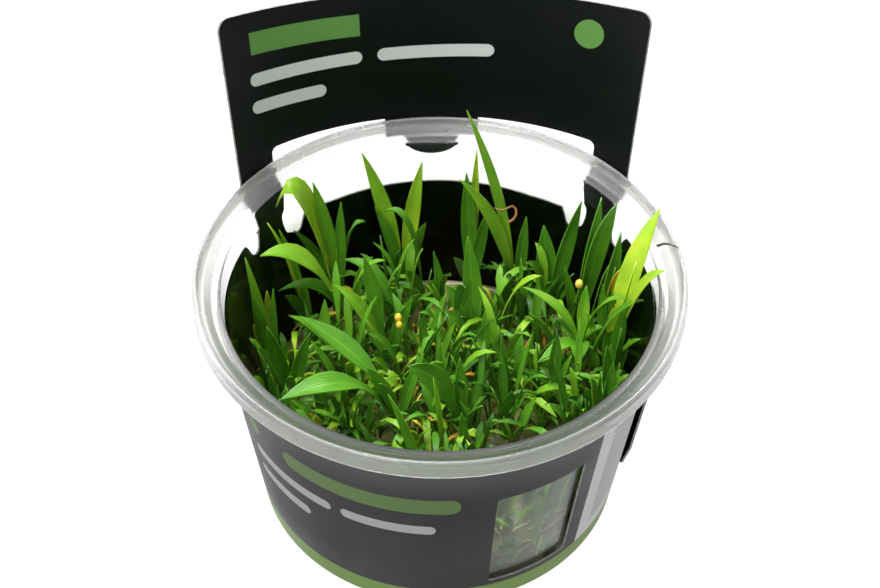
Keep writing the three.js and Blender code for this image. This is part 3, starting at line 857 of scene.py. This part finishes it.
# Plantlets seen in the mouth of the cup. at: place of the crown, and the height of its stem if it has one.
# Each leaf: tip x, y, z, then rise, width, face and tone, from 0 for dark green to 1 for yellow, and for
# some leaves the share that is stalk and how far out the bend is.
GROWN = [
    # Back left, under the header's left leg
    {"at": (-22, 29.5), "leaves": [
        (-34.4, 25.8, 55.5, 54, 6.4, 75, 0.8, 0.1, 0.45),
        (-26.4, 30, 58.5, 24, 3.5, 10, 0.62),
        (-20.6, 30.2, 52.4, 20, 2.6, -10, 0.55),
        (-15.5, 33.5, 43.5, 30, 2.3, 70, 0.5),
        (-31.2, 26.8, 47.5, 18, 2.5, 30, 0.45),
    ]},
    {"at": (-19.5, 21.5), "leaves": [
        (-38, 17.2, 49, 34, 4.8, 78, 0.66, 0.35, 0.3),
        (-34.8, 17.5, 38, 24, 3, 70, 0.45),
        (-14, 30, 36, 18, 2.3, 20, 0.5),
        (-23.5, 17.5, 38, 14, 2.1, 0, 0.6),
    ]},
    {"at": (-29, 22.5), "leaves": [
        (-36.2, 22.3, 54, 22, 1.6, 80, 0.8),
        (-34, 23.8, 50.5, 18, 2.3, 10, 0.55),
        (-33.5, 18, 36, 12, 2.6, 30, 0.4),
    ]},
    # Left wall
    {"at": (-36.2, 6.5), "leaves": [
        (-39, 4, 50, 16, 2.9, 10, 0.5),
        (-39.2, 8.6, 37, 10, 2.1, 40, 0.4),
        (-35, 9.4, 46.8, 15, 1.7, -10, 0.55),
        (-40.4, 11.6, 54, 18, 2.3, 20, 0.62),
    ]},
    {"at": (-32.5, -1), "leaves": [
        (-36, -0.6, 45.5, 14, 3.6, 0, 0.45),
        (-27.3, 1.4, 41.3, 12, 2.9, 0, 0.5),
        (-31.2, -8.6, 39, 12, 2.3, 10, 0.55),
        (-37.6, -5.4, 44.7, 16, 2.3, 60, 0.4),
    ]},
    # Front left, with the two broad leaves that arch over to the left
    {"at": (-9.2, -7.7), "leaves": [
        (-29.1, 1.2, 46.7, 20, 5.4, 70, 0.42, 0.45, 0),
        (-32.6, -18, 42.5, 28, 5.6, 100, 0.5, 0.45),
        (-15.2, -10.5, 43.2, 15, 3.2, 0, 0.55),
        (-12.8, -15.8, 44.2, 15, 2.5, 20, 0.5),
        (-3.4, -2, 38, 10, 2.6, -20, 0.45),
    ]},
    {"at": (4.8, -9.4), "leaves": [
        (-6.9, -13, 46, 21, 5.2, 40, 0.46, 0.3),
        (8.4, -15.6, 36.4, 10, 1.7, 30, 0.6),
        (4, -6.6, 41, 12, 2.9, 0, 0.45),
        (10.5, -4.5, 35, 10, 2.6, -30, 0.4),
    ]},
    # Back centre
    {"at": (-7, 35.8), "leaves": [
        (-15.8, 39.6, 58.6, 22, 3.6, 10, 0.72),
        (-2.4, 40.6, 54.8, 20, 3.6, -5, 0.78),
        (-13.2, 36.2, 45.5, 14, 2.5, 20, 0.5),
        (-1.8, 32.2, 44, 14, 3.2, 0, 0.5),
    ]},
    {"at": (-2, 29), "leaves": [
        (-11.2, 33, 46.9, 36, 2.2, 70, 0.45),
        (-6.5, 24.5, 37, 10, 2.6, 20, 0.5),
        (2, 25.5, 34, 9, 2.3, -20, 0.4),
    ]},
    {"at": (-11.2, 10.2), "leaves": [
        (-15.6, 14.4, 51, 18, 3.3, 5, 0.48, 0.35),
        (-22.2, 13, 44, 20, 3.1, 30, 0.66),
        (-11.6, 4.6, 32.4, 8, 2, 10, 0.5),
        (-5.4, 12.4, 39.8, 12, 2.9, -10, 0.45),
    ]},
    {"at": (-8, 20.5), "leaves": [
        (-20.5, 25.5, 39.5, 24, 3.4, 60, 0.5),
        (-4, 17.5, 36, 11, 3.1, -10, 0.4),
        (-13.5, 19, 34, 10, 2.6, 20, 0.45),
    ]},
    {"at": (8.8, 34), "leaves": [
        (7.4, 37.4, 54, 20, 3.6, 0, 0.5),
        (9.8, 40.4, 58.3, 22, 2.2, 10, 0.8),
        (4.5, 29, 36, 10, 2.7, 0, 0.4),
        (12.6, 34.4, 46, 14, 2.9, 0, 0.45),
    ]},
    # Back right, with the tallest leaf
    {"at": (19.6, 31), "leaves": [
        (7.1, 36.9, 72, 30, 2.3, 10, 0.66),
        (5.6, 31.2, 57.4, 26, 3.1, 30, 0.68),
        (21, 33.4, 44, 14, 2.7, 0, 0.45),
        (15.4, 26.2, 36, 10, 2.3, 20, 0.4),
    ]},
    {"at": (26.5, 24.4), "leaves": [
        (24.2, 27.2, 47, 14, 5, 0, 0.5),
        (20, 21.6, 41, 20, 2.6, 60, 0.5),
        (25, 18.2, 38, 14, 2.5, 20, 0.45),
        (32.2, 27.4, 54, 18, 4, 20, 0.5),
    ]},
    {"at": (32.4, 17.2), "leaves": [
        (35.9, 24.4, 57.5, 20, 4.2, 30, 0.5),
        (38.6, 20.6, 58.8, 32, 4.7, 20, 0.55),
        (28.4, 18.8, 42, 12, 2.3, 0, 0.5),
        (30.2, 13.2, 37, 10, 2.9, 0, 0.45),
    ]},
    {"at": (36.4, 10.4), "leaves": [
        (39.4, 16.4, 54.5, 18, 3.9, 20, 0.5),
        (40.6, 10.4, 51.5, 16, 2, 60, 0.6),
        (38.6, 13.8, 46.6, 14, 2.1, 40, 0.45),
    ]},
    # Right wall, with the tall lime leaves
    {"at": (36.4, 1), "leaves": [
        (46.4, 14.2, 63, 36, 5.8, 120, 0.82, 0.1, 0.1),
        (41.6, 7.6, 54.5, 18, 4.8, 70, 0.86),
        (45.4, -1.2, 60, 38, 4.4, 80, 0.82),
        (41.2, -6.8, 46, 18, 3.1, 60, 0.6),
    ]},
    # The rosette on its stem
    {"at": (31.2, 6.2, 11), "leaves": [
        (39.8, 2.4, 48.5, 18, 2.2, 50, 0.6),
        (18.6, 12.4, 42.7, 12, 2.5, 60, 0.62, 0.1),
        (21.2, -1, 33, 6, 3.1, 110, 0.55),
        (29.6, -2.6, 34, 6, 4.2, 0, 0.5),
        (36.4, 6.2, 36, 6, 2, 100, 0.6),
        (24.6, 9.4, 35.5, 6, 3.4, 60, 0.55),
        (32.2, 11, 44, 8, 2.6, 0, 0.62),
    ]},
    # Front right, low leaves beside the bare gel
    {"at": (16.4, 3.2), "leaves": [
        (30.6, -1, 25, 10, 2.6, 100, 0.5),
        (18.2, 9.4, 33, 10, 3.6, 0, 0.5),
        (13.6, -1.2, 30, 8, 2.3, 0, 0.55),
        (12.4, 8.6, 29, 7, 2.3, 30, 0.45),
    ]},
    {"at": (9, 15), "leaves": [
        (2.1, 17.8, 38.4, 14, 3.8, 10, 0.5),
        (6.9, 21, 50, 17, 4.2, 5, 0.5),
        (0.4, 12.6, 34, 14, 3.9, 60, 0.45),
        (17.4, 16.4, 30, 8, 2.9, 20, 0.55),
    ]},
    {"at": (33, -6.4), "leaves": [
        (30.6, -10, 34.4, 9, 2.6, 10, 0.5),
        (38.2, -6.6, 36, 12, 2, 30, 0.55),
        (25.6, -10.6, 32, 10, 2.3, 40, 0.5),
    ]},
]


def numbers(seed):
    """Park-Miller numbers between 0 and 1, the same on every run."""
    state = seed
    while True:
        state = (state * 16807) % 2147483647
        yield state / 2147483647


def fanned(spots, seed, leaves, reach, tall, wide):
    """Plantlets with leaves fanned out all round, each leaf's reach, height and width between two limits."""
    draw = numbers(seed)

    def between(limits):
        return limits[0] + (limits[1] - limits[0]) * next(draw)

    plants = []
    for x, y in spots:
        turn = next(draw) * 360
        grown = []
        for k in range(leaves):
            bearing = turn + 360 / leaves * k + 30 * (next(draw) - 0.5)
            far, height = between(reach), between(tall)
            east, north = on_ring(far, bearing)
            grown.append((
                x + east, y + north, GEL_TOP + height, height * 0.45, between(wide), bearing + 90,
                0.36 + 0.22 * (k % 2), 0.3,
            ))
        plants.append({"at": (x, y), "leaves": grown})
    return plants


# Low plantlets of the front half, below the rim: a ring of crowns along the wall and one inside it
FRONT = {"from": 198, "to": 336, "count": 9, "ring": 33, "inner": 20.6}
FRONT_FAN = {"seed": 41, "leaves": 4, "reach": (2.5, 5), "tall": (9, 18), "wide": (1.6, 2.8)}

# Plantlets of middle height, in the gaps between the others
MIDDLE = [
    (-25, 11), (-21, 2), (-1.5, 3.5), (2.5, 22), (22.5, 13.5), (25, -2.5), (17, 22.5), (-25.5, -8),
    (10, 6.5), (14, -8.5), (-2, 12.5),
]
MIDDLE_FAN = {"seed": 29, "leaves": 4, "reach": (3, 7), "tall": (12, 23), "wide": (1.9, 3)}


def front_spots():
    bearings = evenly(FRONT["from"], FRONT["to"], FRONT["count"] - 1)
    return [on_ring(FRONT["inner"] if i % 2 else FRONT["ring"], at) for i, at in enumerate(bearings)]


# Small leaves that fill the bed between the plantlets

# Bare gel, where no small crown stands: its middle and its radius
BARE = (19, -17, 9)


def crown_spots(seed, count):
    rng = random.Random(seed)
    spots = []
    while len(spots) < count:
        radius, angle = BED_RADIUS * math.sqrt(rng.random()), rng.uniform(0, math.tau)
        x, y = radius * math.cos(angle), radius * math.sin(angle)
        if math.hypot(x - BARE[0], y - BARE[1]) > BARE[2]:
            spots.append((x, y))
    return spots


def scatter_leaves(name, green, seed, spots, tall, reach, wide, tone, each, droop):
    """Leaves of many small crowns, kept inside the wall; droop is the share of them that lies down."""
    rng = random.Random(seed)
    shape = new_growth()
    for x, y in spots:
        turn = rng.uniform(0, 360)
        for k in range(rng.randint(*each)):
            bearing = turn + 100 * k + rng.uniform(-35, 35)
            height, far = rng.uniform(*tall), rng.uniform(*reach)
            lying = rng.random() < droop
            if lying:
                height, far = height * 0.5, far * 1.6
            wall = wall_inner(GEL_TOP + height) - 1.2
            east, north = on_ring(far, bearing)
            tip = Vector((x + east, y + north))
            if tip.length > wall:
                tip *= wall / tip.length
            # Lying leaves get 0.12 more tone, paler and yellower: a painted sheen where they face the light
            # from above
            leaf = (
                tip.x, tip.y, GEL_TOP + height,
                height * rng.uniform(0.35, 1.0) + far * (1.1 if lying else 0.5),
                rng.uniform(*wide), bearing + rng.choice((90, 90, 60, 25, -30)),
                rng.uniform(*tone) + (0.12 if lying else 0), rng.uniform(0.1, 0.5),
            )
            grow_leaf(shape, Vector((x, y, GEL_TOP - 0.6)), leaf, 2, 7)
    thicken(finish_piece(name, shape, [green]), 0.22)


def make_bed(green):
    along_wall = [on_ring(36.3, at) for at in (*evenly(-58, 14, 13), *evenly(176, 232, 9))]
    at_right = [on_ring(37.5, at) for at in evenly(-30, 12, 7)]
    # Seed, crowns, height, reach, width and tone of the leaves, how many a crown has, and droop
    beds = {
        "wall_leaves": (3, along_wall, (10, 26), (1, 5), (1.2, 2.6), (0.3, 0.7), (3, 5), 0.15),
        "right_leaves": (13, at_right, (22, 33), (0.5, 3), (1.8, 3), (0.3, 0.65), (2, 3), 0),
        "middle_leaves": (5, crown_spots(5, 66), (13, 27), (3, 11), (1.1, 2.3), (0.25, 0.7), (2, 4), 0.3),
        "low_leaves": (7, crown_spots(7, 115), (5, 16), (3, 10), (0.8, 1.7), (0.1, 0.7), (3, 5), 0.3),
        "old_leaves": (11, crown_spots(11, 46), (3, 13), (3, 10), (0.7, 1.5), (0.75, 1.05), (1, 3), 0.35),
    }
    for name, bed in beds.items():
        scatter_leaves(name, green, *bed)


# Roots in the gel

# Roots of a plantlet, points on a root, the distance between them, their lowest height and thickness
ROOTS = {"each": 5, "points": 9, "stride": 2.1, "low": 3, "thickness": 0.45}


def tubes(name, lines, thickness, finish):
    """Thin round growth along each line, as one mesh."""
    curve = bpy.data.curves.new(name, "CURVE")
    curve.dimensions = "3D"
    curve.bevel_depth = thickness * MM / 2
    curve.bevel_resolution = 1
    curve.use_fill_caps = True
    for line in lines:
        spline = curve.splines.new("POLY")
        spline.points.add(len(line) - 1)
        for i, (point, place) in enumerate(zip(spline.points, line)):
            point.co = (*(Vector(place) * MM), 1)
            point.radius = 1 - 0.6 * i / (len(line) - 1)
    holder = bpy.data.objects.new(name, curve)
    mesh = bpy.data.meshes.new_from_object(holder)
    bpy.data.objects.remove(holder)
    bpy.data.curves.remove(curve)
    mesh.name = name
    mesh.materials.clear()
    mesh.materials.append(finish)
    for polygon in mesh.polygons:
        polygon.use_smooth = True
    piece = bpy.data.objects.new(name, mesh)
    bpy.context.scene.collection.objects.link(piece)
    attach(piece, "root")


def wander(rng, start, heading, steps, stride, low):
    """A line that wanders on from its start, kept above a height and inside the wall."""
    place, line = Vector(start), []
    for _ in range(steps):
        line.append(place.copy())
        heading = (heading + Vector([rng.uniform(-0.45, 0.45) for _ in range(3)])).normalized()
        place = place + heading * stride
        place.z = max(low, place.z)
        edge = wall_inner(place.z) - 1.6
        if place.xy.length > edge:
            place.xy = place.xy * (edge / place.xy.length)
    return line


def make_roots(plants, pale):
    rng = random.Random(19)
    lines = []
    for plant in plants:
        for _ in range(ROOTS["each"]):
            turn = rng.uniform(0, math.tau)
            heading = Vector((math.cos(turn), math.sin(turn), -1.1))
            start = (plant["at"][0], plant["at"][1], GEL_TOP + 0.2)
            lines.append(wander(rng, start, heading, ROOTS["points"], ROOTS["stride"], ROOTS["low"]))
    tubes("roots", lines, ROOTS["thickness"], pale)


# Leaves pressed against the wall where the label window shows them; the first, wide and dark, is painted
# shade at the window's right edge.
# Each: angle and height of its foot, angle and height of its tip, then rise, width and tone.
PRESSED = [
    # Painted shade: a wide dark leaf put where the label window's right edge holds only shade
    (214.6, 4, 214.6, 46, 20, 8, 0),
    (213.6, 24, 216.4, 37, 7, 1.2, 0.75),
    (206.5, 17, 207.5, 33, 8, 2.4, 0.35),
    (210, 22, 199.5, 24.5, 14, 2, 0.75),
    (207, 15, 211, 27, 8, 1.6, 0.7),
    (196, 22, 201.5, 15, 1, 2.6, 0.2),
    (194, 19, 205, 9, 1, 1.8, 0.25),
    (209, 9, 212.5, 19, 8, 1.5, 0.85),
    (212.5, 10, 208, 20, 9, 1.3, 0.8),
    (198, 9, 196, 15, 3, 3.4, 0.05),
]

# Roots pressed against the wall there: how many, points on each, where they start and their thickness
PRESSED_ROOTS = {"count": 16, "points": 8, "angle": (193, 214), "height": (10, 26), "thickness": 0.26}

# Leaves that catch the eye among the small ones: foot x, y, then as in the plantlets above.
ACCENTS = [
    (-20.9, 3.4, -19.5, 2.2, 31, 12, 1.7, 20, 0.88, 0.1, 0.4),
    (-38.2, 8.7, -39.9, 7.7, 37.6, 18, 1.7, 10, 0.94, 0.1, 0.2),
    (-37, 12.6, -36.9, 13.6, 42, 20, 1.5, 0, 0.86, 0.3, 0.1),
    (36.6, 12.2, 39.7, 13.3, 46.5, 26, 1.7, 0, 0.99, 0.3, 0.1),
    (13, 17, 23.2, 17.4, 41, 24, 2, 80, 0.8, 0.5, 0.2),
    (-16, 19, -15.8, 10.9, 36, 30, 2.2, 80, 0.62, 0.5, 0.2),
    (-22.3, 16, -11.1, 17.1, 47, 32, 2, 80, 0.6, 0.4, 0.3),
    (27, -3, 17.3, -1.3, 31, 14, 2.6, 90, 0.3, 0.3, 0.2),
    (17, -4, 29.8, -7.6, 31, 16, 2, 80, 0.66, 0.3, 0.2),
    (31, 5, 21, 1.2, 30, 17, 2, 80, 0.68, 0.3, 0.2),
    (31, 4, 42.3, -0.5, 51, 30, 2.6, 70, 0.55, 0.3, 0.3),
    (33, 12, 40.2, 16.6, 49, 30, 2.4, 60, 0.58, 0.4, 0.2),
    (-3, -14, -8, -17, 30, 12, 1.6, 10, 0.86, 0.1, 0.4),
    (24, 2, 30, -7.2, 34, 14, 1.6, 20, 0.6, 0.3, 0.3),
]

# Fallen brown stems on the gel, buds on thin stalks, a dry curl and a loose fibre on the rim
STEMS = [
    [(28.5, -0.7, 18), (25, -4, 18.4), (21.9, -7.4, 18)],
    [(16, -4.3, 18), (16.8, -7.6, 18.5), (17.3, -10.6, 18)],
    [(29.8, -5.9, 18), (27.4, -7.4, 18.3), (25.2, -9.7, 18)],
    [(8, -19, 18), (13, -16.6, 18.4), (19, -16, 18)],
    [(-22, 8, 18), (-18, 10, 18.8), (-13, 9, 18)],
]
BUDS = [((29, 12), (31.2, 14.6, 41), 0.9), ((-7, 9), (-8.6, 8.6, 38), 0.8), ((-7, 9), (-8.4, 7.3, 37), 0.7)]
CURL = [
    (13.2, 30.2, 49.9), (14.4, 29.4, 49.9), (15.4, 29.3, 50.1), (16.3, 29.5, 50.4), (17.2, 29.9, 50.6),
    (18, 29.4, 50.1), (18.1, 28.6, 49.2), (17.4, 27.8, 48.4), (16.4, 27.6, 47.9),
]
FIBRE = [(44.7, 4.8, 61.3), (46.2, 5.4, 61.3), (47.6, 5.4, 61), (49, 4.6, 60.9)]


def make_accents(green):
    brown = plain_growth("brown_stem")
    shape = new_growth()
    for x, y, *leaf in ACCENTS:
        grow_leaf(shape, Vector((x, y, GEL_TOP)), leaf, 2, 10)
    thicken(finish_piece("accent_leaves", shape, [green]), 0.2)
    tubes("brown_stems", STEMS, 1.1, brown)
    tubes("dry_curl", [CURL[::-1]], 0.7, brown)
    tubes("rim_fibre", [FIBRE], 0.6, plain_growth("dark_fibre"))
    stalks = [[(*foot, GEL_TOP), (*place[:2], place[2] - 0.4)] for foot, place, _ in BUDS]
    tubes("bud_stalks", stalks, 0.7, plain_growth("green_stalk"))
    buds = bmesh.new()
    for _, place, radius in BUDS:
        spot = Matrix.Translation(place) @ Matrix.Diagonal((1, 1, 1.3, 1))
        bmesh.ops.create_icosphere(buds, subdivisions=3, radius=radius, matrix=spot)
    finish_piece("buds", buds, [plain_growth("bud")])


def make_pressed(green, pale):
    """Leaves and roots that lie against the wall behind the label window, with one wide dark leaf as painted
    shade at its right edge.
    """
    shape = new_growth()
    for start, foot, end, top, rise, wide, tone in PRESSED:
        base = around(start, wall_inner(foot) - 0.5, foot)
        tip = around(end, wall_inner(top) - 0.5, top)
        grow_leaf(shape, base, (*tip, rise, wide, (start + end) / 2, tone), 2, 10, 0)
    thicken(finish_piece("pressed_leaves", shape, [green]), 0.16)
    rng = random.Random(23)
    lines = []
    for _ in range(PRESSED_ROOTS["count"]):
        at, up = rng.uniform(*PRESSED_ROOTS["angle"]), rng.uniform(*PRESSED_ROOTS["height"])
        line = []
        for _ in range(PRESSED_ROOTS["points"]):
            line.append(around(at, wall_inner(up) - 0.35, up))
            at += rng.uniform(0.3, 1.3)
            up += rng.uniform(-0.9, 1.1)
        lines.append(line)
    tubes("pressed_roots", lines, PRESSED_ROOTS["thickness"], pale)


# Putting it together

def build():
    plastic, core, jelly, green = clear_plastic(), card_core(), nutrient_gel(), fresh_leaf()
    pale = plain_growth("pale_root")
    plants = [*GROWN, *fanned(front_spots(), **FRONT_FAN), *fanned(MIDDLE, **MIDDLE_FAN)]
    # Front and back shades of the rim's slope and roll; the darker front is painted shade
    slope = milky_plastic("milky_slope", 0.9, 0.3, 0.86, 0.24)
    roll = milky_plastic("milky_roll", 0.76, 0.7, 0.78, 0.12)
    make_cup(plastic, slope, roll)
    make_sleeve(printed_outside(), printed_inside(), core)
    make_gel(jelly, gel_side())
    for number, plant in enumerate(plants, 1):
        make_plantlet(number, plant, green)
    make_bed(green)
    make_roots(plants, pale)
    make_pressed(green, pale)
    make_accents(green)


def studio():
    scene = bpy.context.scene
    scene.view_settings.view_transform = "Standard"
    world = bpy.data.worlds.new("studio")
    scene.world = world
    world.use_nodes = True
    sky = Nodes(world.node_tree)
    height = sky.part(sky.node("ShaderNodeTexCoord", output="Generated"), 2)
    shade = sky.ramp(height, [(0.0, (0.12, 0.12, 0.12)), (0.25, (0.2, 0.2, 0.2)), (0.7, (0.75, 0.75, 0.75))])
    world.node_tree.links.new(shade.socket, world.node_tree.nodes["Background"].inputs["Color"])
    floor_shape = bmesh.new()
    bmesh.ops.create_grid(floor_shape, x_segments=1, y_segments=1, size=TABLE_HALF)
    mesh = bpy.data.meshes.new("floor")
    floor_shape.to_mesh(mesh)
    floor_shape.free()
    mesh.materials.append(pale_floor())
    floor = bpy.data.objects.new("floor", mesh)
    scene.collection.objects.link(floor)
    for name, light in LIGHTS.items():
        soft_light(name, *light)
    look_from(**CAMERA)


studio()
build()
